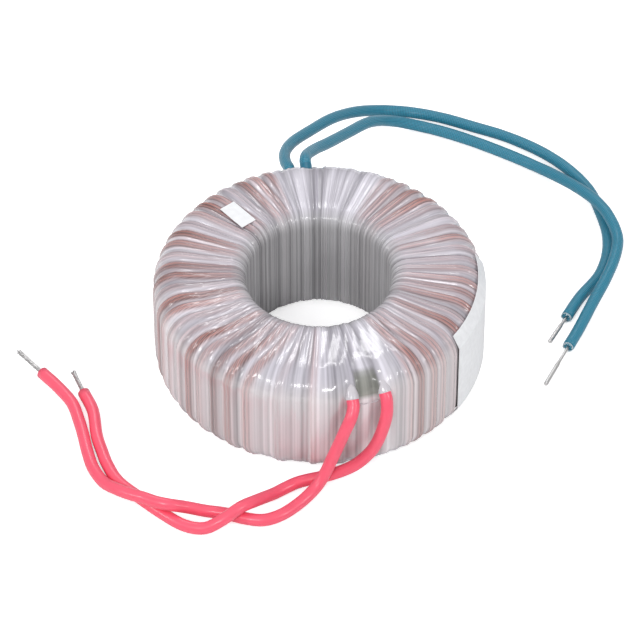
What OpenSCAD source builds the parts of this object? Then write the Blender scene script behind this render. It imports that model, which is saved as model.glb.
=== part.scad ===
// Toroidal mains transformer: a strip-wound steel ring carrying two windings,
// all held under a clear pleated film wrap, with two stranded leads coming out
// of the front shoulder and two sleeved wire ends coming out of the rear one.
// Millimetres. The ring's axis is Z, its lower face rests on z = 0, and the
// front of the transformer, where the stranded leads come out, faces -Y.
// Every layer is built outwards from the core by its own thickness.

/* [Core] */
// Outer diameter of the wound steel ring
core_d = 94; // [80:0.5:120]
// Diameter of the ring's own hole
core_bore_d = 59; // [45:0.5:70]
// Height of the ring, which is the width of its strip
core_h = 28; // [20:0.5:45]
// Thickness of the steel strip
strip_t = 0.3; // [0.2:0.05:0.5]

/* [Core insulation] */
// Thickness on the outer wall
core_film_out = 0.4; // [0.2:0.05:1]
// Thickness on the inner wall, where the turns of tape bunch up
core_film_in = 0.65; // [0.3:0.05:1.5]
// Thickness on the two faces
core_film_face = 0.5; // [0.2:0.05:1]
// Radius round its edges
core_film_edge = 1.5; // [0.8:0.1:3]

/* [Primary winding] */
// Build of the fine wire on the outer wall
primary_out = 1.6; // [1:0.1:3]
// Build of the fine wire on the inner wall
primary_in = 2.7; // [1.5:0.1:4]
// Build of the fine wire on the two faces
primary_face = 2.4; // [1:0.1:4]
// Radius round its outer shoulders
primary_shoulder = 7.1; // [4:0.1:9]
// Radius round the rims of its hole
primary_rim = 3; // [2:0.1:4]
// Diameter of the enamelled primary wire
tail_d = 0.5; // [0.3:0.05:0.8]

/* [Insulation between the windings] */
// Thickness on the outer wall
between_out = 0.35; // [0.2:0.05:1]
// Thickness on the inner wall
between_in = 0.7; // [0.3:0.05:1.5]
// Thickness on the two faces
between_face = 0.5; // [0.2:0.05:1]

/* [Secondary winding] */
// Diameter of the copper wire
wire_d = 1.2; // [0.9:0.05:1.4]
// Pairs of turns from the rear round to the front
pairs_left = 25; // [20:1:26]
// Pairs of turns from the front round to the rear
pairs_right = 21; // [16:1:22]
// Radius of the wire's axis at the outer shoulders
wire_bend_out = 8.6; // [7:0.1:10]
// Radius of the wire's axis at the rims of the hole
wire_bend_in = 4.4; // [4:0.1:6]

/* [Film wrap] */
// Thickness over a pair of wires on the outer wall
wrap_out = 1; // [0.8:0.05:2]
// Thickness on the inner wall, where the turns of film bunch up
wrap_in = 0.9; // [0.6:0.05:2]
// Thickness over a pair of wires on the two faces
wrap_face = 0.9; // [0.7:0.05:2]
// How far the film sinks between two pairs on the outer wall
pleat = 0.6; // [0:0.05:0.7]
// Radius over the outer shoulders
wrap_shoulder = 9.2; // [8:0.1:12]
// Radius over the rims of the hole
wrap_rim = 5; // [4:0.1:6]

/* [Leads] */
// Diameter of a stranded lead over its insulation
lead_d = 3.9; // [3:0.1:4.5]
// Diameter of the stranded conductor
strand_d = 1.5; // [1:0.1:2]
// Diameter of a woven sleeve
sleeve_d = 3.8; // [3:0.1:4.4]
// Diameter of the small sleeve over a soldered joint
splice_d = 2; // [1.6:0.1:2.1]
// Length of the small sleeve over a soldered joint
splice_len = 6.6; // [5:0.1:7]

/* [Labels] */
// Width of the rating label round the wall, in degrees
rating_arc = 44; // [30:1:60]
// Length of the small label on the upper face
code_l = 11; // [8:0.5:14]
// Width of the small label on the upper face
code_w = 5.6; // [4:0.1:8]
// Thickness of both labels
label_t = 0.15; // [0.1:0.05:0.3]

/* [Hidden] */
$fn = 200;

// Running clearance between two layers, and round a lead in its exit
gap = 0.1;
exit_gap = 0.2;

// A layer is [inner radius, outer radius, half height, rim radius, shoulder radius]
IN = 0;
OUT = 1;
HALF = 2;
RIM = 3;
SHOULDER = 4;
core = [core_bore_d / 2, core_d / 2, core_h / 2, 0.6, 0.6];
core_film = grown(core, gap, [core_film_in, core_film_out, core_film_face],
    core_film_edge, core_film_edge);
primary = grown(core_film, gap, [primary_in, primary_out, primary_face],
    primary_rim, primary_shoulder);
between = grown(primary, gap, [between_in, between_out, between_face],
    primary_rim + gap + between_in, primary_shoulder + gap + between_out);

// The wire's axis, which leaves room on the outer wall for a primary tail behind it
wire_in = between[IN] - gap - wire_d / 2;
wire_out = between[OUT] + gap + tail_d + wire_d / 2;
wire_half = between[HALF] + gap + wire_d / 2;

// The room inside the wrap; its corners are squarer than the wire's bends
cavity = [
    wire_in - wire_d / 2 - gap, wire_out + wire_d / 2 + gap / 2, wire_half + wire_d / 2 + gap,
    wire_bend_in + wire_d / 2 - 1.4, wire_bend_out + wire_d / 2 - 1.6
];
wrap = [
    cavity[IN] - wrap_in, cavity[OUT] + wrap_out, cavity[HALF] + wrap_face,
    wrap_rim, wrap_shoulder
];
mid_z = wrap[HALF];

// Lower edge of the first sleeve's flattened root, where the wire's start comes up to it
root_low = mid_z + 5.2;

// Places round the ring, in degrees from the front (-Y) towards +X
front_gap = [-2, 33];
rear_gap = [152, 201];
start_a = 195.5;
lead_a = [11.5, 23];
sleeve_a = [190, 184.5];
pad_a = [13.8, 20.8];
tail_end_a = [-65, 52];

// Half the angle that a pair of wires covers on the outer wall
pair_half = asin(wire_d / 2 / wire_out);

function at(r, a, z) = [r * sin(a), -r * cos(a), z];
function unit(v) = v / norm(v);
function last(v) = v[len(v) - 1];
function sum(v, n) = n <= 0 ? 0 : v[n - 1] + sum(v, n - 1);
function spread(from, to, weights) =
    [for (k = [0:len(weights)]) from + (to - from) * sum(weights, k) / sum(weights, len(weights))];
function even(from, to, n) = [for (k = [0:n - 1]) from + (to - from) * k / (n - 1)];

function grown(layer, clearance, build, rim, shoulder) = [
    layer[IN] - clearance - build[0], layer[OUT] + clearance + build[1],
    layer[HALF] + clearance + build[2], rim, shoulder
];
function swollen(layer, by) = [
    layer[IN] - by, layer[OUT] + by, layer[HALF] + by, layer[RIM] + by, layer[SHOULDER] + by
];

// The wire pairs stand wide apart left of the front gap and close together right of it
left_weights = [for (m = [pairs_left - 2:-1:0]) 1 + 1.1 * exp(-m * m / 3) + 0.12 * sin(110 * m)];
right_weights = [for (m = [0:pairs_right - 2]) 1 - 0.25 * exp(-m / 4) + 0.12 * sin(130 * m)];
left_pairs = spread(rear_gap[1], 360 + front_gap[0], left_weights);
right_pairs = spread(360 + front_gap[1], 360 + rear_gap[0], right_weights);
outer_pairs = concat(left_pairs, right_pairs);
inner_turns = concat(even(193, 361, 2 * pairs_left), even(385, 517, 2 * pairs_right));
turns = len(inner_turns);
function outer_turn(i) = outer_pairs[floor(i / 2)] + (i % 2 == 0 ? -1 : 1) * pair_half * 1.02;

// One corner of a turn: rings of the wire's section where its bend is cut into flats
wire_sides = 5;
wire_section = [for (k = [0:wire_sides - 1])
    wire_d / 2 * [sin(90 + 360 * k / wire_sides), cos(90 + 360 * k / wire_sides)]];
function corner(centre, d, out, up, bend, angles, half) = [
    for (t = angles)
        let (n = out * cos(t) * d + [0, 0, up * sin(t)], across = [d.y, -d.x, 0])
            [for (p = wire_section) centre + p.x * across + (bend + p.y) / cos(half) * n]
];
OUTER_BEND = [15, 45, 75];
INNER_BEND = [22.5, 67.5];
function back(v) = [for (k = [len(v) - 1:-1:0]) v[k]];
function span(inner_a, outer_a, up) =
    let (p = at(wire_in, inner_a, 0), q = at(wire_out, outer_a, 0), d = unit(q - p))
        [
            corner(p + wire_bend_in * d + [0, 0, mid_z + up * (wire_half - wire_bend_in)],
                d, -1, up, wire_bend_in, INNER_BEND, 22.5),
            corner(q - wire_bend_out * d + [0, 0, mid_z + up * (wire_half - wire_bend_out)],
                d, 1, up, wire_bend_out, back(OUTER_BEND), 15)
        ];
function turn_up(i) = let (s = span(inner_turns[i], outer_turn(i), 1)) concat(s[0], s[1]);
function turn_down(i) =
    let (s = span(inner_turns[i + 1], outer_turn(i), -1)) concat(back(s[1]), back(s[0]));

// The wire begins on the rear wall, under the first sleeve, and ends on the rear shoulder
start_ring = let (d = at(1, start_a, 0), across = [d.y, -d.x, 0])
    [for (p = wire_section) at(wire_out, start_a, root_low - gap) + p.x * across + p.y * d];
start_turn = let (s = span(inner_turns[0], start_a, -1)) concat(back(s[1]), back(s[0]));
last_up = let (s = span(inner_turns[turns - 1], outer_turn(turns - 1), 1))
    concat(s[0], [s[1][0], s[1][1]]);
wire_rings = concat(
    [start_ring], start_turn,
    [for (i = [0:turns - 2]) each concat(turn_up(i), turn_down(i))],
    last_up
);

// Skins a list of rings, each a closed loop of as many points, into one solid
module skin(rings) {
    n = len(rings[0]);
    m = len(rings);
    polyhedron(
        points = [for (r = rings) each r],
        faces = concat(
            [[for (k = [0:n - 1]) k]],
            [for (j = [0:m - 2], k = [0:n - 1]) each
                let (a = j * n + k, b = j * n + (k + 1) % n) [[a, b + n, b], [a, a + n, b + n]]],
            [[for (k = [n - 1:-1:0]) (m - 1) * n + k]]
        )
    );
}

// The film's section is cut into flats round each corner; each row is
// [corner centre along r, corner centre's side, outward, upward, angle, sink]
OUTER = 1;
INNER = -1;
function film_point(side, up, angle, sink) =
    let (
        bend = side == OUTER ? wrap[SHOULDER] : wrap[RIM] + trim,
        half = side == OUTER ? 15 : 22.5,
        r = side == OUTER ? wrap[OUT] - bend : wrap[IN] - trim + bend,
        reach = (bend - sink) / cos(half)
    )
        [r + side * reach * cos(angle), mid_z + up * (wrap[HALF] - bend + reach * sin(angle))];
// The polygon's inner wall stands this far inside the bore that then trims it
trim = 0.4;
film_rows = [
    [INNER, -1, 22.5, 0], [INNER, -1, 67.5, 0.2],
    [OUTER, -1, 75, 0.3], [OUTER, -1, 45, 0.5], [OUTER, -1, 15, 1],
    [OUTER, 1, 15, 1], [OUTER, 1, 45, 0.6], [OUTER, 1, 75, 0.8],
    [INNER, 1, 67.5, 0.3], [INNER, 1, 22.5, 0]
];

// A column of the film is [angle at the outer wall, angle at the hole, sink from 0 to 1]
crest_half = 1.3;
foot_half = 2;
inner_crest_half = 1.5;
inner_foot_half = 2.2;
inner_pairs = [for (i = [0:2:turns - 2]) (inner_turns[i] + inner_turns[i + 1]) / 2];
function pair_columns(k) = [
    [outer_pairs[k] - foot_half, inner_pairs[k] - inner_foot_half, 1],
    [outer_pairs[k] - crest_half, inner_pairs[k] - inner_crest_half, 0],
    [outer_pairs[k] + crest_half, inner_pairs[k] + inner_crest_half, 0],
    [outer_pairs[k] + foot_half, inner_pairs[k] + inner_foot_half, 1]
];
// Creases in the two stretches that hold no wire, as hand-laid folds
front_folds = [
    [362.5, 365.5, 0.6], [365.5, 367.5, 1], [368.2, 369.5, 0.4], [371.5, 372, 0.9],
    [375, 374.5, 0.3], [377.5, 376.5, 0.8], [380.2, 378, 0.4], [383, 379.5, 1],
    [386, 381, 0.5], [388.5, 382, 0.9]
];
rear_folds = [
    [516, 521.5, 0.5], [520.5, 525, 0.9], [525, 529, 0.6], [529.5, 533, 1],
    [534, 537, 0.5], [538.5, 541, 0.9], [543, 544, 0.6], [547.5, 547, 1],
    [551.5, 549, 0.5], [554, 550.2, 0], [557, 551.2, 0.2]
];
film_columns = concat(
    [for (k = [0:len(outer_pairs) - 1]) each concat(
        pair_columns(k), k == pairs_left - 1 ? front_folds : []
    )],
    rear_folds
);
function film_ring(c) = [
    for (row = film_rows)
        let (
            p = film_point(row[0], row[1], row[2], row[3] * c[2] * pleat),
            share = (p.x - wrap[IN]) / (wrap[OUT] - wrap[IN]),
            a = c[1] + (c[0] - c[1]) * min(max(share, 0), 1)
        )
            at(p.x, a, p.y)
];
module film_solid() {
    rings = [for (c = film_columns) film_ring(c)];
    m = len(rings);
    n = len(film_rows);
    polyhedron(
        points = [for (r = rings) each r],
        faces = [for (j = [0:m - 1], k = [0:n - 1]) each
            let (a = j * n + k, b = j * n + (k + 1) % n, c = (j + 1) % m * n)
                [[a, c + (k + 1) % n, c + k], [a, b, c + (k + 1) % n]]]
    );
}

// The section of one layer, and a layer as a shell over the one inside it
module section(layer) {
    width = layer[OUT] - layer[IN];
    translate([layer[IN] + layer[RIM], mid_z - layer[HALF]])
        square([width - layer[RIM] - layer[SHOULDER], 2 * layer[HALF]]);
    translate([layer[IN], mid_z - layer[HALF] + layer[RIM]])
        square([layer[RIM] + 0.01, 2 * (layer[HALF] - layer[RIM])]);
    translate([layer[OUT] - layer[SHOULDER] - 0.01, mid_z - layer[HALF] + layer[SHOULDER]])
        square([layer[SHOULDER] + 0.01, 2 * (layer[HALF] - layer[SHOULDER])]);
    for (side = [-1, 1]) {
        translate([layer[IN] + layer[RIM], mid_z + side * (layer[HALF] - layer[RIM])])
            circle(layer[RIM]);
        translate([layer[OUT] - layer[SHOULDER], mid_z + side * (layer[HALF] - layer[SHOULDER])])
            circle(layer[SHOULDER]);
    }
}
module shell(layer, inside) {
    rotate_extrude() difference() {
        section(layer);
        section(swollen(inside, gap));
    }
}

// The stranded leads come out on a slope down the front shoulder, and their
// soldered joints lie on the shoulder of the insulation under the film
exit_slope = 45;
shoulder_r = between[OUT] - between[SHOULDER];
shoulder_z = mid_z + between[HALF] - between[SHOULDER];
splice_reach = between[SHOULDER] + gap + splice_d / 2;
splice_top = 2.2;
lead_start = splice_len - splice_top;
function exit_at(a, along) = at(
    shoulder_r + splice_reach * cos(exit_slope) + along * sin(exit_slope), a,
    shoulder_z + splice_reach * sin(exit_slope) - along * cos(exit_slope)
);
module rod(p, q, d) {
    v = q - p;
    translate(p) rotate([0, acos(v.z / norm(v)), atan2(v.y, v.x)])
        cylinder(d = d, h = norm(v));
}

// The woven sleeves lie pressed flat under the film, and come out as round stubs
root_t = 1.4;
root_w = 5;
root_reach = between[SHOULDER] + 3 * gap + root_t / 2;
sleeve_z = [mid_z + 11.5, mid_z + 14.5];
stub_end = wrap[OUT] + 0.4;
function stub_in(z) =
    let (low = max(0, z - sleeve_d / 2 - shoulder_z))
        shoulder_r + sqrt(between[SHOULDER] ^ 2 - low ^ 2) + gap;
module stub(k, d, from, to) {
    rod(at(from, sleeve_a[k], sleeve_z[k]), at(to, sleeve_a[k], sleeve_z[k]), d);
}
module flattened() {
    square([root_t, root_w - root_t], center = true);
    for (side = [-1, 1]) translate([0, side * (root_w - root_t) / 2]) circle(d = root_t);
}

// A wire or lead as a tube along a list of points
function heading(p, i) =
    i == 0 ? unit(p[1] - p[0])
    : i == len(p) - 1 ? unit(p[i] - p[i - 1])
    : unit(unit(p[i + 1] - p[i]) + unit(p[i] - p[i - 1]));
function sideways(p, i) =
    let (t = heading(p, i), s = i == 0 ? cross(t, [0.31, 0.17, 0.93]) : sideways(p, i - 1))
        unit(s - (s * t) * t);
module tube(p, d, sides) {
    skin([for (i = [0:len(p) - 1])
        let (s = sideways(p, i), u = cross(heading(p, i), s))
            [for (k = [0:sides - 1])
                p[i] + d / 2 * (cos(360 * k / sides) * s + sin(360 * k / sides) * u)]
    ]);
}

module tip(p, len, d) {
    rod(last(p), last(p) + len * heading(p, len(p) - 1), d);
}

// Routes of the free leads: down from their exits, then lying on z = 0
lead_routes = [
    [
        [9.8, -54.8, 28.5], [7.9, -56.2, 24], [5.8, -56.8, 18], [3.8, -57.2, 12.3],
        [1.8, -58.4, 7.6], [-1, -60.8, 4], [-5.6, -65.2, 2.2], [-11.3, -70.2, 2],
        [-17, -72.6, 2], [-23, -71.8, 2], [-29, -69.8, 2], [-35, -69, 2.3],
        [-41, -69, 4], [-45.6, -70, 6.1], [-50, -69.2, 6.5], [-54.3, -67, 6.2],
        [-58.3, -64.8, 5.4], [-62.5, -61.8, 4.4], [-66.8, -57.2, 2.6], [-70.4, -50.6, 2],
        [-72.6, -43, 2], [-74, -36.4, 2], [-75.8, -29.4, 2], [-78.2, -22.2, 2],
        [-83, -15.1, 2], [-88.2, -8.9, 2]
    ],
    [
        [20.9, -51.4, 27], [19.8, -52.5, 22], [18.2, -53.2, 17], [15.8, -53.8, 12.4],
        [10.9, -54.8, 7.6], [3.4, -55.4, 4], [-5.6, -56.6, 2.3], [-10, -58.8, 2],
        [-14, -61.9, 2.4], [-19, -66.8, 4.8], [-24, -71.2, 6.4], [-29.5, -75, 4.9],
        [-35, -76.4, 2.5], [-41.3, -74.9, 2], [-48, -70, 2], [-55.5, -63.2, 2],
        [-62.3, -56.4, 2], [-65.9, -49.4, 2], [-68, -43, 2], [-69.8, -36.4, 2],
        [-71.3, -26, 2], [-74.6, -17.8, 2]
    ]
];
sleeve_routes = [
    [
        [-10.9, 60, 29.8], [-11, 67.5, 27], [-8.6, 76, 23.6], [-3, 86, 19.4],
        [4.3, 97.6, 14.4], [11.8, 107, 8.8], [20.2, 113.2, 4], [30, 114.6, 2],
        [41, 111.8, 2], [52, 107.2, 2], [63.5, 102, 2], [74.7, 94.6, 2],
        [83.2, 86.2, 2], [89.8, 76, 2], [93.2, 65, 2], [95, 54, 2],
        [94.2, 44, 2], [91, 34.6, 2], [84.7, 25.2, 2], [80, 16.2, 2]
    ],
    [
        [-3.8, 60.4, 32.4], [-1.2, 67.4, 28.4], [3.2, 75, 24.2], [9.6, 86, 18.6],
        [17.2, 98.4, 12.2], [24.9, 105.8, 5.8], [33, 107.6, 2.2], [42.4, 104.4, 2],
        [52.4, 99.6, 2], [63, 93.6, 2], [72.8, 87, 2.3], [80.4, 79.4, 4.2],
        [86.8, 71.6, 6.2], [91.4, 65.6, 6.9], [95.2, 58.6, 6.9], [97.8, 49.6, 6],
        [96.8, 41.2, 5.8], [93.5, 31.4, 5.3], [88.6, 20.8, 4.1], [83.9, 10.9, 2.3],
        [80, 2.8, 2]
    ]
];
// Bare ends, straight on from each tube
lead_tip_len = [12.4, 9.9];
sleeve_tip_len = [13, 18.4];
function lead_path(k) =
    concat([exit_at(lead_a[k], lead_start), exit_at(lead_a[k], lead_start + 3)], lead_routes[k]);
function sleeve_path(k) = concat(
    [at(stub_end, sleeve_a[k], sleeve_z[k]), at(stub_end + 3, sleeve_a[k], sleeve_z[k])],
    sleeve_routes[k]
);

module core_strip() {
    color("slategray") {
        rotate_extrude() section([core[IN], core[OUT] - strip_t, core[HALF], core[RIM], core[RIM]]);
        rotate_extrude(angle = 330) translate([core[OUT] - 2 * strip_t, mid_z - core[HALF] + core[RIM]])
            square([2 * strip_t, 2 * (core[HALF] - core[RIM])]);
    }
}
module core_insulation() {
    color("oldlace") shell(core_film, core);
}
module primary_winding() {
    color("sienna") shell(primary, core_film);
}
// Wrapped over the primary, with a slot where each end of the primary comes up
module winding_insulation() {
    color("lightyellow") difference() {
        shell(between, primary);
        for (k = [0, 1]) rotate(tail_end_a[k] + (k == 0 ? -3.6 : 3.6))
            translate([0, -between[OUT], tail_z]) cube([4.6, 4, tail_d + 2 * gap], center = true);
    }
}
module secondary_winding() {
    color("peru") skin(wire_rings);
}
module outer_wrap() {
    color([0.82, 0.78, 0.84, 0.55]) difference() {
        film_solid();
        rotate_extrude() section(cavity);
        translate([0, 0, -1]) cylinder(r = wrap[IN], h = 2 * wrap[HALF] + 2);
        for (a = lead_a) {
            rod(exit_at(a, -splice_top - gap), exit_at(a, lead_start), splice_d + 2 * gap);
            rod(exit_at(a, lead_start - gap), exit_at(a, lead_start + 9), lead_d + 2 * exit_gap);
        }
        for (k = [0, 1]) stub(k, sleeve_d + 2 * exit_gap, stub_in(sleeve_z[k]), stub_end + 2);
    }
}
// Folded tape pad that holds the two soldered joints apart
pad_t = 0.9;
pad_r = 38;
pad_low = 12.5;
module lead_pad() {
    color("dimgray") rotate(pad_a[0] - 90) rotate_extrude(angle = pad_a[1] - pad_a[0]) intersection() {
        difference() {
            section(swollen(between, gap + pad_t));
            section(swollen(between, gap));
        }
        translate([pad_r, mid_z + pad_low]) square(between[OUT] - pad_r + pad_t);
    }
}
module splice(k) {
    color("ivory") rod(exit_at(lead_a[k], -splice_top), exit_at(lead_a[k], lead_start), splice_d);
}
// The primary's own wire runs round the wall behind the secondary to its joint
tail_r = between[OUT] + gap / 2 + tail_d / 2;
tail_z = mid_z + 9;
tail_step = 5;
module primary_tail(k) {
    way = k == 0 ? 1 : -1;
    from = tail_end_a[k];
    to = lead_a[k] - way * 7.5;
    steps = floor(abs(to - from) / tail_step);
    joint = exit_at(lead_a[k] - way * asin((splice_d + tail_d) / 2 / tail_r) * 0.9, 1.6);
    color("firebrick") tube(concat(
        [at(primary[OUT] + tail_d / 2 + gap, from - way * 4, tail_z),
            at(tail_r - 0.15, from - way * 2, tail_z)],
        [for (i = [0:steps]) at(tail_r, from + (to - from) * i / steps, tail_z)],
        [joint - [0, 0, tail_d / 2]]
    ), tail_d, 6);
}
module red_lead(k) {
    color("crimson") tube(lead_path(k), lead_d, 8);
}
module red_tip(k) {
    color("silver") tip(lead_path(k), lead_tip_len[k], strand_d);
}
// The first root is short; the second runs round the shoulder to the wire's end
module sleeve_root_1() {
    color("teal") {
        rotate(sleeve_a[0] - 2 - 90) rotate_extrude(angle = start_a - sleeve_a[0] + 3)
            translate([between[OUT] + gap + root_t / 2 + 0.1, root_low + root_w / 2]) flattened();
        stub(0, sleeve_d, stub_in(sleeve_z[0]), stub_end);
    }
}
module sleeve_root_2() {
    from = rear_gap[0] + 2;
    color("teal") {
        rotate(from - 90) rotate_extrude(angle = sleeve_a[1] + 2 - from)
            translate([shoulder_r + root_reach * cos(45), shoulder_z + root_reach * sin(45)])
                rotate(45) flattened();
        stub(1, sleeve_d, stub_in(sleeve_z[1]), stub_end);
    }
}
module blue_sleeve(k) {
    color("teal") tube(sleeve_path(k), sleeve_d, 8);
}
module blue_tip(k) {
    color("silver") tip(sleeve_path(k), sleeve_tip_len[k], wire_d);
}
rating_from = 56;
label_gap = 0.05;
module rating_label() {
    corners = [[1, 45], [1, 15], [-1, 15], [-1, 45]];
    color("white") rotate(rating_from - 90) rotate_extrude(angle = rating_arc) polygon(concat(
        [for (c = corners) film_point(OUTER, c[0], c[1], -label_gap)],
        [for (c = back(corners)) film_point(OUTER, c[0], c[1], -label_gap - label_t)]
    ));
}
module code_label() {
    color("white") translate([-25.7, 24, 2 * mid_z + label_gap + label_t / 2]) rotate(-50)
        cube([code_l, code_w, label_t], center = true);
}

core_strip();
core_insulation();
primary_winding();
winding_insulation();
secondary_winding();
outer_wrap();
lead_pad();
splice(0);  // splice_1
splice(1);  // splice_2
primary_tail(0);  // primary_tail_1
primary_tail(1);  // primary_tail_2
red_lead(0);  // red_lead_1
red_lead(1);  // red_lead_2
red_tip(0);  // red_tip_1
red_tip(1);  // red_tip_2
sleeve_root_1();
sleeve_root_2();
blue_sleeve(0);  // blue_sleeve_1
blue_sleeve(1);  // blue_sleeve_2
blue_tip(0);  // blue_tip_1
blue_tip(1);  // blue_tip_2
rating_label();
code_label();
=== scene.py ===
# %% [markdown]
# # A toroidal transformer under its film wrap
# The real thing is a ring of wound steel strip with two copper windings round
# it, all held by a clear plastic film that is wound through the hole again and
# again, so it gathers into pleats. Two red leads come out of the front
# shoulder, and two blue sleeved wires come out behind. The solids come in as a
# fixed frame. This lesson sets the camera and the light, lays the free leads,
# models the pleated film, and gives every piece its finish.

# %% Load the frame and note its size
import math
import bpy
import bmesh
import numpy as np
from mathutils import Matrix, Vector


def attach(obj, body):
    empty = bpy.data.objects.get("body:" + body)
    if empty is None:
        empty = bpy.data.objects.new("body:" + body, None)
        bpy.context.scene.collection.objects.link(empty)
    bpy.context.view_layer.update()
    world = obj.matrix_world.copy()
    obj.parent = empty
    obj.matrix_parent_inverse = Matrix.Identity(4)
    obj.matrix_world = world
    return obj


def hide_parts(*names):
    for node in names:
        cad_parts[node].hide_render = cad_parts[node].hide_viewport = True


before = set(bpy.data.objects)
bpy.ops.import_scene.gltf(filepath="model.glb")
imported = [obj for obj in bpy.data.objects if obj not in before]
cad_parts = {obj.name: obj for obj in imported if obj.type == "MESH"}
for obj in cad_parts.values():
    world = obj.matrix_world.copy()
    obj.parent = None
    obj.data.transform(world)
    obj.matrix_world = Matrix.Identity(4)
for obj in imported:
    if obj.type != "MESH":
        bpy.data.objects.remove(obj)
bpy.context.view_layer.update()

MM = 0.001

# %% [markdown]
# ## The camera
# A product like this is shown from in front and 45 degrees above, from far
# away through a long lens, so the ring keeps nearly parallel sides.

# %% Camera, front and above
FOCAL_LENGTH = 244.5
CAMERA_PLACE = (0, -0.97808, 0.991617)
CAMERA_TILT, CAMERA_TURN = 45.093, -0.022
camera_data = bpy.data.cameras.new("camera")
camera_data.lens = FOCAL_LENGTH
camera_data.sensor_width = 36
camera_data.clip_end = 10
camera = bpy.data.objects.new("camera", camera_data)
camera.location = CAMERA_PLACE
camera.rotation_euler = (math.radians(CAMERA_TILT), 0, math.radians(CAMERA_TURN))
bpy.context.scene.collection.objects.link(camera)
bpy.context.scene.camera = camera
bpy.context.scene.view_settings.view_transform = "Standard"
print("camera at", tuple(camera.location))

# %% [markdown]
# ## Routes of the four free leads
# Each lead is a fixed length of something flexible. It leaves the wrap, drops
# to the table and lies there, crossing its neighbour in a low hump. The points
# are the ones that the solids follow, in millimetres, and a smooth curve is
# drawn through them so that the tube has no corners.

# %% Points of the leads and a smooth curve through them
LEAD_D = 3.9
SLEEVE_D = 3.8
STEPS = 4
RED_1 = [
    (10.23, -50.28, 33.14), (10.65, -52.36, 31.02),
    (9.8, -54.8, 28.5), (7.9, -56.2, 24), (5.8, -56.8, 18), (3.8, -57.2, 12.3),
    (1.8, -58.4, 7.6), (-1, -60.8, 4), (-5.6, -65.2, 2.2), (-11.3, -70.2, 2),
    (-17, -72.6, 2), (-23, -71.8, 2), (-29, -69.8, 2), (-35, -69, 2.3),
    (-41, -69, 4), (-45.6, -70, 6.1), (-50, -69.2, 6.5), (-54.3, -67, 6.2),
    (-58.3, -64.8, 5.4), (-62.5, -61.8, 4.4), (-66.8, -57.2, 2.6), (-70.4, -50.6, 2),
    (-72.6, -43, 2), (-74, -36.4, 2), (-75.8, -29.4, 2), (-78.2, -22.2, 2),
    (-83, -15.1, 2), (-88.2, -8.9, 2),
]
RED_2 = [
    (20.05, -47.23, 33.14), (20.88, -49.18, 31.02),
    (20.9, -51.4, 27), (19.8, -52.5, 22), (18.2, -53.2, 17), (15.8, -53.8, 12.4),
    (10.9, -54.8, 7.6), (3.4, -55.4, 4), (-5.6, -56.6, 2.3), (-10, -58.8, 2),
    (-14, -61.9, 2.4), (-19, -66.8, 4.8), (-24, -71.2, 6.4), (-29.5, -75, 4.9),
    (-35, -76.4, 2.5), (-41.3, -74.9, 2), (-48, -70, 2), (-55.5, -63.2, 2),
    (-62.3, -56.4, 2), (-65.9, -49.4, 2), (-68, -43, 2), (-69.8, -36.4, 2),
    (-71.3, -26, 2), (-74.6, -17.8, 2),
]
BLUE_1 = [
    (-9.19, 52.1, 31.5), (-9.71, 55.05, 31.5),
    (-10.9, 60, 29.8), (-11, 67.5, 27), (-8.6, 76, 23.6), (-3, 86, 19.4),
    (4.3, 97.6, 14.4), (11.8, 107, 8.8), (20.2, 113.2, 4), (30, 114.6, 2),
    (41, 111.8, 2), (52, 107.2, 2), (63.5, 102, 2), (74.7, 94.6, 2),
    (83.2, 86.2, 2), (89.8, 76, 2), (93.2, 65, 2), (95, 54, 2),
    (94.2, 44, 2), (91, 34.6, 2), (84.7, 25.2, 2), (80, 16.2, 2),
]
BLUE_2 = [
    (-4.15, 52.74, 34.5), (-4.39, 55.73, 34.5),
    (-3.8, 60.4, 32.4), (-1.2, 67.4, 28.4), (3.2, 75, 24.2), (9.6, 86, 18.6),
    (17.2, 98.4, 12.2), (24.9, 105.8, 5.8), (33, 107.6, 2.2), (42.4, 104.4, 2),
    (52.4, 99.6, 2), (63, 93.6, 2), (72.8, 87, 2.3), (80.4, 79.4, 4.2),
    (86.8, 71.6, 6.2), (91.4, 65.6, 6.9), (95.2, 58.6, 6.9), (97.8, 49.6, 6),
    (96.8, 41.2, 5.8), (93.5, 31.4, 5.3), (88.6, 20.8, 4.1), (83.9, 10.9, 2.3),
    (80, 2.8, 2),
]


def smooth(points, steps):
    """Catmull-Rom curve through the points, with even weights, in metres."""
    p = [Vector(v) * MM for v in points]
    p = [p[0] * 2 - p[1], *p, p[-1] * 2 - p[-2]]
    out = []
    for a, b, c, d in zip(p, p[1:], p[2:], p[3:]):
        for k in range(steps):
            t = k / steps
            out.append(0.5 * (2 * b + (c - a) * t + (2 * a - 5 * b + 4 * c - d) * t * t
                              + (3 * b - a - 3 * c + d) * t * t * t))
    return out + [p[-2]]


def length_of(path):
    return sum((b - a).length for a, b in zip(path, path[1:]))


print("first red lead is", round(length_of(smooth(RED_1, STEPS)) * 1000, 1), "mm")

# %% [markdown]
# ## A tube with its own map
# A curve with a bevel would make a tube, but the woven sleeve needs a pattern
# that follows it round every bend. So the tube is skinned here ring by ring.
# Each ring is turned as little as possible from the one before, and the map
# runs in millimetres along the tube and once round it.

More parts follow.
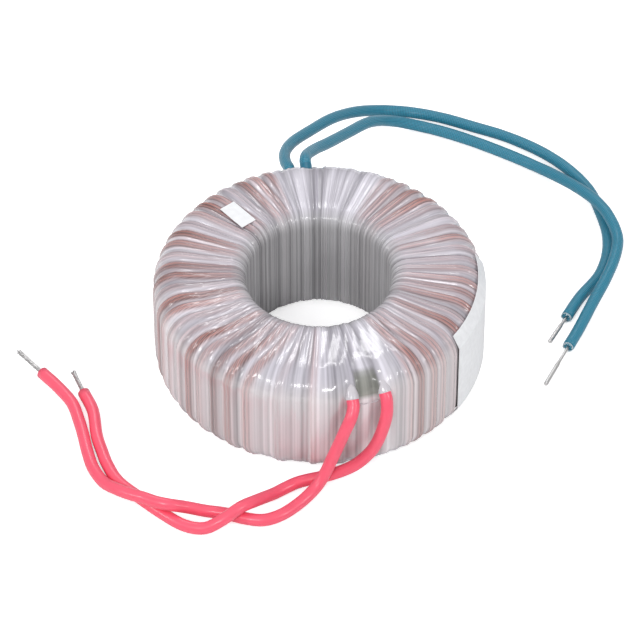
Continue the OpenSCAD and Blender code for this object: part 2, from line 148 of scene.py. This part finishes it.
# %% Skin a tube along a path
def tube(name, path, radii, sides=18, closed=True):
    """A mesh tube along path, in metres, with a map of length and turn."""
    made = bmesh.new()
    uv = made.loops.layers.uv.new("along")
    side = Vector((0.31, 0.17, 0.93))
    rings, reach, run = [], 0.0, []
    for i, p in enumerate(path):
        ahead = (path[min(i + 1, len(path) - 1)] - path[max(i - 1, 0)]).normalized()
        side = (side - side.dot(ahead) * ahead).normalized()
        other = ahead.cross(side)
        if i:
            reach += (p - path[i - 1]).length
        run.append(reach * 1000)
        rings.append([made.verts.new(p + radii[i] * (math.cos(a) * side + math.sin(a) * other))
                      for a in (2 * math.pi * k / sides for k in range(sides))])
    for i in range(len(rings) - 1):
        for k in range(sides):
            n = (k + 1) % sides
            f = made.faces.new((rings[i][k], rings[i][n], rings[i + 1][n], rings[i + 1][k]))
            turns = (k / sides, (k + 1) / sides, (k + 1) / sides, k / sides)
            for loop, u, v in zip(f.loops, (run[i], run[i], run[i + 1], run[i + 1]), turns):
                loop[uv].uv = (u, v)
            f.smooth = True
    if closed:
        made.faces.new(rings[0][::-1])
        made.faces.new(rings[-1])
    mesh = bpy.data.meshes.new(name)
    made.to_mesh(mesh)
    made.free()
    piece = bpy.data.objects.new(name, mesh)
    bpy.context.scene.collection.objects.link(piece)
    return piece


# %% [markdown]
# ## Bare ends
# The red leads end in stranded copper that was twisted and tinned: seven
# strands laid in a long helix, with the last millimetre a little splayed. The
# blue sleeves show the enamelled wire's own end, scraped and dipped in solder,
# so it is thicker and rougher towards its tip.

# %% Twisted strands and dipped wire
def joined(name, parts):
    bpy.ops.object.select_all(action="DESELECT")
    for part in parts:
        part.select_set(True)
    bpy.context.view_layer.objects.active = parts[0]
    bpy.ops.object.join()
    parts[0].name = name
    return parts[0]


STRANDS = 7
TIP_R = 0.75 * MM
WIRE_R = 0.7 * MM
LAY_LENGTH = 0.009


def strands(name, start, way, length, radius):
    way = way.normalized()
    side = way.cross(Vector((0, 0, 1))).normalized()
    up = side.cross(way)
    parts = []
    for s in range(STRANDS):
        path, radii = [], []
        for k in range(15):
            t = k / 14
            spread = 0 if s == 0 else radius * 0.66 * (1 + 0.35 * max(0, t - 0.8) * 5)
            a = 2 * math.pi * (s / (STRANDS - 1) + length / LAY_LENGTH * t)
            path.append(start + way * length * t * (1 - 0.02 * (s % 3))
                        + spread * (math.cos(a) * side + math.sin(a) * up))
            radii.append(radius * 0.34)
        parts.append(tube(f"{name}_{s}", path, radii, 8))
    return joined(name, parts)


def dipped(name, start, way, length, radius, bare):
    way = way.normalized()
    path, radii = [], []
    for k in range(25):
        t = k / 24
        path.append(start + way * length * t)
        solder = min(max((t - bare) * 12, 0), 1)
        lump = 0.05 * math.sin(t * 41) + 0.04 * math.sin(t * 73 + 1)
        radii.append(radius * (0.72 + solder * (0.28 + lump)) * (1 if t < 0.97 else 0.75))
    return tube(name, path, radii, 12)


def heading(points):
    return (Vector(points[-1]) - Vector(points[-2])).normalized()


def end_of(points):
    return Vector(points[-1]) * MM


red_tip_1 = strands("red_strands_1", end_of(RED_1), heading(RED_1), 12.4 * MM, TIP_R)
red_tip_2 = strands("red_strands_2", end_of(RED_2), heading(RED_2), 9.9 * MM, TIP_R)
wire_end_1 = dipped("wire_end_1", end_of(BLUE_1), heading(BLUE_1), 13 * MM, WIRE_R, 0.3)
wire_end_2 = dipped("wire_end_2", end_of(BLUE_2), heading(BLUE_2), 18.4 * MM, WIRE_R, 0.4)
for piece, node in ((red_tip_1, "red_tip_1"), (red_tip_2, "red_tip_2"),
                    (wire_end_1, "blue_tip_1"), (wire_end_2, "blue_tip_2")):
    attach(piece, "root")
    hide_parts(node)
print("bare ends made")

# %% [markdown]
# ## The leads themselves
# A red lead is a plain round tube with a cut end. A blue sleeve is a woven
# tube that is soft when it lies loose, so its width varies a little, and its
# cut end frays: a ring of pale fibres stands out round the hollow.

# %% Red leads
def lead(name, points, node):
    path = smooth(points, STEPS)
    piece = tube(name, path, [LEAD_D / 2 * MM] * len(path), 20)
    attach(piece, "root")
    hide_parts(node)
    return piece


red_1 = lead("red_lead_one", RED_1, "red_lead_1")
red_2 = lead("red_lead_two", RED_2, "red_lead_2")
print("red leads laid")

# %% [markdown]
# ## Frayed sleeves
# A cut braid comes apart at its end. The fibres could be drawn as a texture,
# but they stand out in the outline, so each one is a thin tapered tube. Their
# angles and lengths come from a seeded generator, so every run gives the same
# ends.

# %% Blue sleeves with frayed ends
FIBRES = 46
chance = np.random.default_rng(7)


def sleeve(name, points, node):
    path = smooth(points, STEPS)
    wave = [1 + 0.015 * math.sin(k * 0.9) + 0.012 * math.sin(k * 2.3 + 1)
            for k in range(len(path))]
    piece = tube(name, path, [SLEEVE_D / 2 * MM * min(w, 1.0) for w in wave], 20)
    way = heading(points)
    side = way.cross(Vector((0, 0, 1))).normalized()
    up = side.cross(way)
    end = end_of(points)
    hairs = []
    for k in range(FIBRES):
        a = 2 * math.pi * k / FIBRES + chance.uniform(-0.05, 0.05)
        out = math.cos(a) * side + math.sin(a) * up
        root = end + out * (SLEEVE_D / 2 - 0.22) * MM - way * 0.3 * MM
        flare = chance.uniform(-0.25, 0.12)
        run = chance.uniform(0.5, 1.5) * MM
        path_h = [root, root + way * run * 0.5, root + (way + out * flare).normalized() * run]
        hairs.append(tube(f"{name}_hair_{k}", path_h, [0.13 * MM, 0.12 * MM, 0.05 * MM], 4))
    frayed = joined(f"{name}_fray", hairs)
    for thing in (piece, frayed):
        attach(thing, "root")
    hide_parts(node)
    return piece, frayed


blue_1, fray_1 = sleeve("blue_sleeve_one", BLUE_1, "blue_sleeve_1")
blue_2, fray_2 = sleeve("blue_sleeve_two", BLUE_2, "blue_sleeve_2")
print("blue sleeves laid")

# %% [markdown]
# ## The film wrap
# The film is wound through the hole many times, so it lies in narrow pleats
# that run over the face like spokes. Where a pair of wires lies under it the
# film is tight and shows copper, and between the pairs it sinks and turns
# milky. The form starts as a circle that is shaped into the ring's section and
# spun round the axis. Then every point is moved in or out by a height map made
# of the wire pairs and of fine random pleats, as a sculptor would draw them.

# %% Section of the wrap, spun round the axis
WRAP_IN, WRAP_OUT, WRAP_HALF = 22.85, 52.5, 20.0
RIM, SHOULDER = 5.0, 9.2
COLUMNS = 1500


def section_points():
    """Points round the section: hole wall, rim, upper face, shoulder, wall and back."""
    upper = [(WRAP_IN, z) for z in (0, 5, 9, 12.5)]
    for a in (0, 18, 36, 54, 72):
        t = math.radians(a)
        upper.append((WRAP_IN + RIM - RIM * math.cos(t), WRAP_HALF - RIM + RIM * math.sin(t)))
    upper += [(r, WRAP_HALF) for r in (27.85, 31, 34.5, 38, 41)]
    for a in (90, 78, 66, 54, 42, 30, 18, 6):
        t = math.radians(a)
        upper.append((WRAP_OUT - SHOULDER + SHOULDER * math.cos(t),
                      WRAP_HALF - SHOULDER + SHOULDER * math.sin(t)))
    upper += [(WRAP_OUT, z) for z in (8, 4, 0)]
    lower = [(r, -z) for r, z in upper[1:-1]][::-1]
    return [(r, z + WRAP_HALF) for r, z in upper + lower]


outline = section_points()
bpy.ops.object.select_all(action="DESELECT")
bpy.ops.mesh.primitive_circle_add(vertices=len(outline), radius=0.01, location=(0, 0, 0))
film = bpy.context.active_object
film.name = "film_wrap"
for v, (r, z) in zip(film.data.vertices, outline):
    v.co = (r * MM, 0, z * MM)
bpy.ops.object.mode_set(mode="EDIT")
bpy.ops.mesh.select_all(action="SELECT")
bpy.ops.mesh.spin(steps=COLUMNS, angle=2 * math.pi, center=(0, 0, 0), axis=(0, 0, 1))
bpy.ops.mesh.select_all(action="SELECT")
bpy.ops.mesh.remove_doubles(threshold=0.00001)
bpy.ops.mesh.normals_make_consistent(inside=False)
bpy.ops.object.mode_set(mode="OBJECT")
print("the wrap has", len(film.data.polygons), "faces")

# %% [markdown]
# ## Where the wires lie
# Twenty-five pairs lie wide apart on the left, and twenty-one lie closer on
# the right. The front gap, where the red leads come out, and the rear gap,
# where the sleeves do, hold none. Angles run from the front towards +X. Each
# pair stands at one angle on the outer wall and at another round the hole.

# %% Angles of the pairs, outside and inside
def spread(first, last, weights):
    reach = np.concatenate(([0.0], np.cumsum(weights)))
    return first + (last - first) * reach / reach[-1]


m = np.arange(23, -1, -1.0)
left_weights = 1 + 1.1 * np.exp(-m * m / 3) + 0.12 * np.sin(np.radians(110 * m))
m = np.arange(0, 20, 1.0)
right_weights = 1 - 0.25 * np.exp(-m / 4) + 0.12 * np.sin(np.radians(130 * m))
outer_pairs = np.concatenate((spread(201, 358, left_weights), spread(393, 512, right_weights)))
inner_left = np.linspace(193, 361, 50).reshape(-1, 2).mean(1)
inner_right = np.linspace(385, 517, 42).reshape(-1, 2).mean(1)
inner_pairs = np.concatenate((inner_left, inner_right))
print(len(outer_pairs), "pairs of wires")

# %% [markdown]
# ## Height and colour of the film
# One function gives both, so a ridge and its copper line always agree. For
# each point it finds the nearest pair and the distance from it in
# millimetres. Two round ridges stand there, painted shade darkens the line
# between them and the creases beside them, and the film sinks towards the next
# pair. Random pleats run the same way, finer round the hole. In the front gap
# the film is loose, so broad creases replace the ridges.

# %% Random curves that close round the ring
def ring_noise(count, seed):
    """A smooth random curve round the ring with so many knots, from -1 to 1."""
    knots = np.random.default_rng(seed).uniform(-1, 1, count)

    def at(angle):
        t = (angle / 360.0 % 1.0) * count
        i = np.floor(t).astype(int)
        f = t - i
        f = f * f * (3 - 2 * f)
        return knots[i % count] * (1 - f) + knots[(i + 1) % count] * f
    return at


def band(x, low, high, soft):
    """1 between low and high, falling to 0 over soft on each side."""
    return np.clip((x - low) / soft + 1, 0, 1) * np.clip((high - x) / soft + 1, 0, 1)


coarse, middle, fine, hair = (ring_noise(n, s) for n, s in ((61, 3), (173, 5), (397, 8), (733, 13)))
pair_mood = np.random.default_rng(21).uniform(0, 1, len(outer_pairs))
print("random curves drawn")

# %% [markdown]
# ## From points to heights
# NumPy works on all the points at once, which is far quicker than a loop over
# vertices. The points are read into arrays of radius, height and angle, and
# share runs from 0 at the hole to 1 at the outer wall.

# %% Read the film's points
WINDING_START = 193
count = len(film.data.vertices)
co = np.empty(count * 3)
film.data.vertices.foreach_get("co", co)
co = co.reshape(-1, 3) * 1000
r = np.hypot(co[:, 0], co[:, 1])
z = co[:, 2] - WRAP_HALF
angle = np.degrees(np.arctan2(co[:, 0], -co[:, 1])) % 360
share = np.clip((r - WRAP_IN) / (WRAP_OUT - WRAP_IN), 0, 1)
turned = np.where(angle < WINDING_START, angle + 360, angle)

# %% Nearest pair, and how far the point is from it
nearest = np.full(count, 1e9)
mood = np.zeros(count)
for k in range(len(outer_pairs)):
    here = inner_pairs[k] + (outer_pairs[k] - inner_pairs[k]) * share
    for turn in (-360, 0, 360):
        away = (turned - here - turn) * math.pi / 180 * r
        closer = np.abs(away) < np.abs(nearest)
        nearest = np.where(closer, away, nearest)
        mood = np.where(closer, pair_mood[k], mood)
print("farthest from a pair:", round(float(np.abs(nearest).max()), 1), "mm")

# %% Height of the film over the section
FRONT_GAP = (361, 391)
REAR_GAP = (516, 557)
HALF_TURN = 300
WIRE_AWAY = 0.62
RIDGE_WIDTH = 0.42
DEEPEST = 0.72
on_face = np.clip(1 - (WRAP_HALF - np.abs(z)) / 6, 0, 1)
on_wall = np.clip((share - 0.8) * 5, 0, 1)
in_hole = np.clip(1 - share * 6, 0, 1)
front = band(np.where(turned > HALF_TURN, turned, 0), *FRONT_GAP, 3)
rear = band(np.where(turned > HALF_TURN, turned, turned + 360), *REAR_GAP, 4)
ridge = np.exp(-((np.abs(nearest) - WIRE_AWAY) / RIDGE_WIDTH) ** 2)
tight = np.clip(1.55 - np.abs(nearest) * 0.55, 0, 1)
pleats = 0.55 * middle(angle + 2 * share) + 0.5 * fine(angle + 1.2 * share) + 0.22 * hair(angle)
height = 0.30 * ridge + 0.36 * tight - DEEPEST + 0.2 * pleats
loose = 0.35 * coarse(angle + 9 * share) + 0.35 * middle(angle + 14 * share) - 0.35 \
    + 0.3 * np.sin(share * 23 + coarse(angle) * 3) * np.clip(share * 2 - 0.8, 0, 1)
height = height * (1 - front) + loose * front
flat_rear = 0.2 * middle(angle) + 0.22 * fine(angle) - 0.35
height = height * (1 - rear) + flat_rear * rear
gathered = 0.16 * fine(angle) + 0.1 * hair(angle) - 0.2
height = np.where(in_hole > 0, height * (1 - in_hole) + gathered * in_hole, height)
height = np.minimum(height, 0.0)

# %% Move the points along the section's own normal
low_r, high_r = WRAP_IN + RIM, WRAP_OUT - SHOULDER
bend = np.where(r < (low_r + high_r) / 2, RIM, SHOULDER)
to_r = r - np.clip(r, low_r, high_r)
to_z = z - np.clip(z, -(WRAP_HALF - bend), WRAP_HALF - bend)
size = np.maximum(np.hypot(to_r, to_z), 1e-6)
new_r = r + height * to_r / size
new_z = z + height * to_z / size
shift = new_r / r
placed = np.stack((co[:, 0] * shift, co[:, 1] * shift, new_z + WRAP_HALF), 1) / 1000
film.data.vertices.foreach_set("co", placed.ravel())
film.data.update()
bpy.ops.object.shade_smooth()

# %% [markdown]
# ## Colours that sit on the ridges
# The copper could be a striped texture, but it has to lie on the ridges that
# were just made. So the colour is worked out from the same distances and kept
# as an attribute of the points, which the material reads. Each mix lays one
# colour over the last: milky film, a paler outer wall that is a painted
# reflection of the white table, rose where the film is tight, copper on the
# wires, painted shade in the creases between and beside them, grey down the
# hole, then the folded pad and the thin red wire that show at the front.

# %% Colour of the film, point by point
MILKY = np.array([0.42, 0.40, 0.45])
PALE = np.array([0.60, 0.58, 0.63])
# Paler tint for the outer wall: a painted reflection of the white table.
PAINTED_WALL_REFLECTION = np.array([0.66, 0.62, 0.615])
COPPER = np.array([0.36, 0.105, 0.07])
ROSE = np.array([0.55, 0.345, 0.33])
# Near-black painted shade for the creases between and beside the wires.
PAINTED_CREASE_SHADE = np.array([0.07, 0.024, 0.02])
GREY = np.array([0.42, 0.415, 0.415])
PAD = np.array([0.17, 0.175, 0.14])
WIRE_RED = np.array([0.55, 0.12, 0.10])
PAD_ANGLES, PAD_HEIGHTS = (13.4, 21.0), (13.2, 19.0)
TAIL_ANGLES, TAIL_HEIGHT = (-62, 7), 9.3


def all_over(colour):
    return np.tile(colour, (count, 1))


def mix(a, b, by):
    return a * (1 - by[:, None]) + b * by[:, None]


along = 0.5 + 0.5 * coarse(angle * 0.9 + 40 * share)
shown = np.clip(0.1 + 1.0 * mood, 0, 1) * np.clip(0.3 + 0.9 * share, 0, 1)
shown = shown * np.clip(0.55 + along, 0, 1)
# Copper is fainter on the outer wall, as part of the painted reflection of the white table.
shown = shown * (1 - 0.45 * on_wall * np.clip(1 - on_face, 0, 1))
shown = shown * (1 - front) * (1 - rear) * (1 - 0.75 * in_hole)
line = np.exp(-((np.abs(nearest) - 0.6) / 0.34) ** 2)
# Where painted shade falls: the crease between a pair's two wires, and where the film drops off
# each side.
crease_shade_mask = np.exp(-(nearest / 0.2) ** 2) + 0.9 * np.exp(-((np.abs(nearest) - 1.25) / 0.22) ** 2)
tint = mix(all_over(MILKY), PALE, np.clip(0.5 + 0.5 * middle(angle + 3 * share), 0, 1))
# The outer wall is painted paler, standing in for its reflection of the white table.
tint = mix(tint, all_over(PAINTED_WALL_REFLECTION), 0.7 * on_wall * np.clip(1 - on_face, 0, 1))
tint = mix(tint, all_over(ROSE), np.clip(tight * shown * 0.8, 0, 1))
tint = mix(tint, all_over(COPPER), np.clip(line * shown * 0.9, 0, 1))
# Painted shade laid into those creases.
tint = mix(tint, all_over(PAINTED_CREASE_SHADE), np.clip(crease_shade_mask * shown * 0.95, 0, 1))
tint = mix(tint, all_over(GREY), 0.8 * in_hole)
around = np.degrees(np.arctan2(co[:, 0], -co[:, 1]))
pad = band(around, *PAD_ANGLES, 0.8) * band(z, *PAD_HEIGHTS, 0.8) * np.clip((share - 0.6) * 8, 0, 1)
tint = mix(tint, all_over(PAD), 0.85 * pad)
off_line = z - TAIL_HEIGHT - 0.35 * coarse(angle * 2)
tail = band(around, *TAIL_ANGLES, 3) * np.exp(-(off_line / 0.3) ** 2) * on_wall
tint = mix(tint, all_over(WIRE_RED), 0.55 * np.clip(tail * (0.5 + 0.6 * middle(angle)), 0, 1))
streak = 1 + 0.22 * fine(angle + 1.2 * share) + 0.16 * hair(angle)
streak = streak + 0.16 * middle(angle + 3 * share)
tint = np.clip(tint * streak[:, None], 0, 0.92)
colours = np.concatenate((tint, np.ones((count, 1))), 1)
layer = film.data.color_attributes.new("film_tint", "FLOAT_COLOR", "POINT")
layer.data.foreach_set("color", colours.ravel())
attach(film, "root")
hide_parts("outer_wrap")
print("film shaped and tinted")

# %% [markdown]
# ## Film round the exits
# Each red lead pushes the film up into a thin bright collar where it comes
# out, and the film's cut edge shows as pale lines between the two. The collar
# is a short flared tube that starts inside the wrap and ends round the lead.

# %% Collars and film edges
def collar(name, points, radius):
    start, way = Vector(points[0]) * MM, (Vector(points[1]) - Vector(points[0])).normalized()
    steps = (-4.2, -3, -1.8, -0.8, 0.0, 0.35, 0.55, 0.6)
    wide = (0.62, 0.85, 1.0, 1.09, 1.12, 1.13, 1.1, 1.02)
    return tube(name, [start + way * t * MM for t in steps], [radius * w * MM for w in wide], 24)


def ring_point(radius, degrees, height):
    a = math.radians(degrees)
    return Vector((radius * math.sin(a), -radius * math.cos(a), height)) * MM


def film_edge(name, first, last, radius, height, sag):
    steps = [k / 12 for k in range(13)]
    line = [ring_point(radius + 0.25 * math.sin(9 * t), first + (last - first) * t,
                       height - sag * math.sin(math.pi * t)) for t in steps]
    return tube(name, line, [0.16 * MM] * len(line), 8)


edges = [
    collar("film_collar_1", RED_1, LEAD_D / 2), collar("film_collar_2", RED_2, LEAD_D / 2),
    film_edge("film_edge_upper", 13.6, 21.2, 51.35, 32.6, 0.9),
    film_edge("film_edge_lower", 13.9, 20.9, 52.0, 30.6, 0.5),
]
for piece in edges:
    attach(piece, "root")
print(len(edges), "edges of film at the exits")

# %% [markdown]
# ## Finishes
# Each finish is a small set of nodes. The film reads its own tint and adds a
# clear coat with fine wrinkles. The sleeve's weave follows its map. Wear and
# mottling come from one shared group.

# %% A shared group for soft mottling
def mottle_group():
    group = bpy.data.node_groups.new("mottle", "ShaderNodeTree")
    group.interface.new_socket("Scale", in_out="INPUT", socket_type="NodeSocketFloat")
    group.interface.new_socket("Low", in_out="INPUT", socket_type="NodeSocketFloat")
    group.interface.new_socket("High", in_out="INPUT", socket_type="NodeSocketFloat")
    group.interface.new_socket("Value", in_out="OUTPUT", socket_type="NodeSocketFloat")
    n, link = group.nodes, group.links.new
    entry, leave = n.new("NodeGroupInput"), n.new("NodeGroupOutput")
    place, noise = n.new("ShaderNodeTexCoord"), n.new("ShaderNodeTexNoise")
    scale = n.new("ShaderNodeMapRange")
    noise.inputs["Detail"].default_value = 4
    link(place.outputs["Object"], noise.inputs["Vector"])
    link(entry.outputs["Scale"], noise.inputs["Scale"])
    link(noise.outputs["Fac"], scale.inputs["Value"])
    link(entry.outputs["Low"], scale.inputs["To Min"])
    link(entry.outputs["High"], scale.inputs["To Max"])
    link(scale.outputs["Result"], leave.inputs["Value"])
    return group


MOTTLE = mottle_group()


def finish(name, colour, roughness, metallic=0.0, spread=0.08, scale=900.0, bump=0.0, coat=0.0):
    """A finish whose roughness and colour vary a little over the surface."""
    mat = bpy.data.materials.new(name)
    mat.use_nodes = True
    n, link = mat.node_tree.nodes, mat.node_tree.links.new
    shader = n["Principled BSDF"]
    shader.inputs["Metallic"].default_value = metallic
    shader.inputs["Coat Weight"].default_value = coat
    shader.inputs["Coat Roughness"].default_value = 0.12
    rough = n.new("ShaderNodeGroup")
    rough.node_tree = MOTTLE
    rough.inputs["Scale"].default_value = scale
    rough.inputs["Low"].default_value = roughness - spread
    rough.inputs["High"].default_value = roughness + spread
    link(rough.outputs["Value"], shader.inputs["Roughness"])
    tone = n.new("ShaderNodeGroup")
    tone.node_tree = MOTTLE
    tone.inputs["Scale"].default_value = scale * 0.4
    tone.inputs["Low"].default_value = 0.0
    tone.inputs["High"].default_value = 1.0
    blend = n.new("ShaderNodeMix")
    blend.data_type = "RGBA"
    blend.inputs["A"].default_value = (*[c * 0.88 for c in colour], 1)
    blend.inputs["B"].default_value = (*[min(c * 1.1, 1) for c in colour], 1)
    link(tone.outputs["Value"], blend.inputs["Factor"])
    link(blend.outputs["Result"], shader.inputs["Base Color"])
    if bump:
        lift = n.new("ShaderNodeBump")
        lift.inputs["Distance"].default_value = bump
        lift.inputs["Strength"].default_value = 0.5
        link(rough.outputs["Value"], lift.inputs["Height"])
        link(lift.outputs["Normal"], shader.inputs["Normal"])
    return mat


# %% [markdown]
# ## One finish for each stuff
# Vinyl is fairly glossy and even, solder is a rough bright metal, the label
# is coated paper, and the film is the glossiest of all. The inner solids are
# sealed in, but get their own steel, enamel and film, so that a cut-away of
# the part would look right.

# %% Film, leads, metal and paper
red_plastic = finish("red_plastic", (1.0, 0.105, 0.175), 0.36, spread=0.05, scale=500, coat=0.25)
tinned = finish("tinned_wire", (0.62, 0.61, 0.60), 0.34, metallic=1.0, spread=0.12,
                scale=2500, bump=0.00004)
white_paper = finish("label_paper", (0.86, 0.87, 0.88), 0.45, spread=0.05, scale=1500, coat=0.3)
steel = finish("strip_steel", (0.42, 0.44, 0.46), 0.35, metallic=1.0)
clear_film = finish("inner_film", (0.80, 0.78, 0.74), 0.25, coat=0.5)
enamel = finish("enamelled_copper", (0.50, 0.19, 0.10), 0.25, coat=0.6)
grey_tape = finish("grey_tape", (0.30, 0.30, 0.27), 0.7, scale=2500, bump=0.0001)
pale_fibre = finish("pale_fibre", (0.55, 0.66, 0.70), 0.6, scale=3000)
flat_sleeve = finish("flat_sleeve", (0.012, 0.16, 0.25), 0.4)

film_finish = finish("pleated_film", (0.6, 0.58, 0.62), 0.22, spread=0.1, scale=260,
                     bump=0.0003, coat=0.6)
nodes, link = film_finish.node_tree.nodes, film_finish.node_tree.links.new
tint_node = nodes.new("ShaderNodeAttribute")
tint_node.attribute_name = "film_tint"
link(tint_node.outputs["Color"], nodes["Principled BSDF"].inputs["Base Color"])

# %% [markdown]
# ## The woven sleeve
# The sleeve is a braid of glass yarn dipped in blue varnish. Two sets of
# yarns cross on the slant, so two waves that run along and round the tube in
# opposite directions are multiplied. Their product lifts the surface and
# lightens the crowns of the yarns.

# %% Braid from the tube's own map
YARNS_ROUND = 12
YARN_RATE = 5.2


def braid(name, dark, light):
    mat = bpy.data.materials.new(name)
    mat.use_nodes = True
    n, link = mat.node_tree.nodes, mat.node_tree.links.new
    shader = n["Principled BSDF"]
    shader.inputs["Roughness"].default_value = 0.33
    shader.inputs["Coat Weight"].default_value = 0.35
    shader.inputs["Coat Roughness"].default_value = 0.25
    uv = n.new("ShaderNodeUVMap")
    uv.uv_map = "along"
    split = n.new("ShaderNodeSeparateXYZ")
    link(uv.outputs["UV"], split.inputs["Vector"])

    def wave(sign):
        along, turn, total, sine = (n.new("ShaderNodeMath") for _ in range(4))
        along.operation, turn.operation, total.operation, sine.operation = (
            "MULTIPLY", "MULTIPLY", "ADD", "SINE")
        along.inputs[1].default_value = YARN_RATE
        turn.inputs[1].default_value = sign * 2 * math.pi * YARNS_ROUND
        link(split.outputs["X"], along.inputs[0])
        link(split.outputs["Y"], turn.inputs[0])
        link(along.outputs[0], total.inputs[0])
        link(turn.outputs[0], total.inputs[1])
        link(total.outputs[0], sine.inputs[0])
        return sine

    product = n.new("ShaderNodeMath")
    product.operation = "MULTIPLY"
    link(wave(1).outputs[0], product.inputs[0])
    link(wave(-1).outputs[0], product.inputs[1])
    level = n.new("ShaderNodeMapRange")
    level.inputs["From Min"].default_value = -1
    link(product.outputs[0], level.inputs["Value"])
    blend = n.new("ShaderNodeMix")
    blend.data_type = "RGBA"
    blend.inputs["A"].default_value = (*dark, 1)
    blend.inputs["B"].default_value = (*light, 1)
    link(level.outputs["Result"], blend.inputs["Factor"])
    link(blend.outputs["Result"], shader.inputs["Base Color"])
    lift = n.new("ShaderNodeBump")
    lift.inputs["Distance"].default_value = 0.00018
    lift.inputs["Strength"].default_value = 0.7
    link(level.outputs["Result"], lift.inputs["Height"])
    link(lift.outputs["Normal"], shader.inputs["Normal"])
    return mat


blue_braid = braid("blue_braid", (0.004, 0.09, 0.15), (0.025, 0.34, 0.50))
print("finishes made")

# %% Dress every piece
def dress(piece, mat):
    piece.data.materials.clear()
    piece.data.materials.append(mat)


for piece in (red_1, red_2):
    dress(piece, red_plastic)
for piece in (blue_1, blue_2):
    dress(piece, blue_braid)
for piece in (fray_1, fray_2):
    dress(piece, pale_fibre)
for piece in (red_tip_1, red_tip_2, wire_end_1, wire_end_2):
    dress(piece, tinned)
dress(film, film_finish)
edge_film = finish("edge_film", (0.60, 0.57, 0.60), 0.15, spread=0.06, scale=700, coat=0.8)
for piece in edges:
    dress(piece, edge_film)

by_node = {
    "core_strip": steel, "core_insulation": clear_film, "winding_insulation": clear_film,
    "primary_winding": enamel, "secondary_winding": enamel, "primary_tail_1": enamel,
    "primary_tail_2": enamel, "lead_pad": grey_tape, "splice_1": tinned, "splice_2": tinned,
    "sleeve_root_1": flat_sleeve, "sleeve_root_2": flat_sleeve,
    "rating_label": white_paper, "code_label": white_paper,
}
for node, mat in by_node.items():
    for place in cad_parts[node].material_slots:
        place.material = mat
print(len(by_node), "solids dressed")

# %% [markdown]
# ## Light and ground
# A white table stands in a pale room with four soft lamps. The key lamp is
# above the front, where the shoulder mirrors it. Glossy film needs something
# darker to mirror as well, so the room is grey at the horizon. The table glows
# a little for the camera alone, so it looks white and still keeps a shadow.

# %% Floor
bpy.ops.object.select_all(action="DESELECT")
bpy.ops.mesh.primitive_plane_add(size=6, location=(0, 0, -0.0001))
floor = bpy.context.active_object
floor.name = "floor"
paper = bpy.data.materials.new("white_ground")
paper.use_nodes = True
nodes, link = paper.node_tree.nodes, paper.node_tree.links.new
ground = nodes["Principled BSDF"]
ground.inputs["Base Color"].default_value = (0.85, 0.85, 0.85, 1)
ground.inputs["Roughness"].default_value = 0.9
ground.inputs["Emission Color"].default_value = (1, 1, 1, 1)
path_node = nodes.new("ShaderNodeLightPath")
glow = nodes.new("ShaderNodeMath")
glow.operation = "MULTIPLY"
glow.inputs[1].default_value = 0.62
link(path_node.outputs["Is Camera Ray"], glow.inputs[0])
link(glow.outputs[0], ground.inputs["Emission Strength"])
floor.data.materials.append(paper)

# %% Lamps and room
def lamp(name, place, aim, size, power):
    data = bpy.data.lights.new(name, "AREA")
    data.shape = "RECTANGLE"
    data.size, data.size_y = size
    data.energy = power
    light = bpy.data.objects.new(name, data)
    light.location = place
    light.rotation_euler = (Vector(aim) - Vector(place)).to_track_quat("-Z", "Y").to_euler()
    bpy.context.scene.collection.objects.link(light)


lamp("key_above_front", (-0.28, -0.95, 0.98), (0, 0, 0.02), (0.42, 0.2), 5.0)
lamp("strip_left", (-0.85, -0.35, 0.5), (0, 0, 0.02), (0.12, 0.4), 1.6)
lamp("strip_right", (0.8, -0.5, 0.62), (0, 0, 0.02), (0.16, 0.3), 2.0)
lamp("soft_back", (0.0, 0.75, 0.85), (0, 0, 0.02), (0.5, 0.12), 1.6)

world = bpy.data.worlds.new("room")
bpy.context.scene.world = world
world.use_nodes = True
nodes, link = world.node_tree.nodes, world.node_tree.links.new
sky = nodes["Background"]
coord, ramp_in, ramp = (nodes.new("ShaderNodeTexCoord"), nodes.new("ShaderNodeSeparateXYZ"),
                        nodes.new("ShaderNodeValToRGB"))
link(coord.outputs["Generated"], ramp_in.inputs["Vector"])
link(ramp_in.outputs["Z"], ramp.inputs["Fac"])
ramp.color_ramp.elements[0].position = 0.0
ramp.color_ramp.elements[0].color = (0.30, 0.30, 0.31, 1)
ramp.color_ramp.elements[1].position = 0.8
ramp.color_ramp.elements[1].color = (0.74, 0.74, 0.76, 1)
seen = nodes.new("ShaderNodeLightPath")
choose = nodes.new("ShaderNodeMix")
choose.data_type = "RGBA"
choose.inputs["B"].default_value = (1, 1, 1, 1)
link(seen.outputs["Is Camera Ray"], choose.inputs["Factor"])
link(ramp.outputs["Color"], choose.inputs["A"])
link(choose.outputs["Result"], sky.inputs["Color"])
print("lit")
